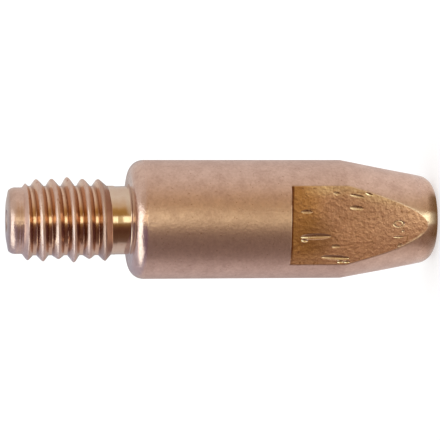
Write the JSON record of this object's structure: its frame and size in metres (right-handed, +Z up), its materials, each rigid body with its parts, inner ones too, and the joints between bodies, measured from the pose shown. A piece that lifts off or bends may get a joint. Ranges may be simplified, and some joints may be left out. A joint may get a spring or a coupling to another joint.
{
  "type": "welding contact tip",
  "caption": "Turned copper contact tip for a wire-fed welding torch, with a threaded end, an undercut, a rounded shoulder, a tapered nose, wrench flats and a wire bore right through.",
  "frame": {"origin": "the middle of the nose face, which the tip stands on", "axes": "+Z up the turning axis, from the nose to the threaded end; -Y and +Y out of the two wrench flats"},
  "size_m": [0.008, 0.008, 0.029],
  "materials": {
    "copper": "satin turned copper"
  },
  "bodies": {
    "root": {"contact_tip": "copper"}
  },
  "joints": []
}
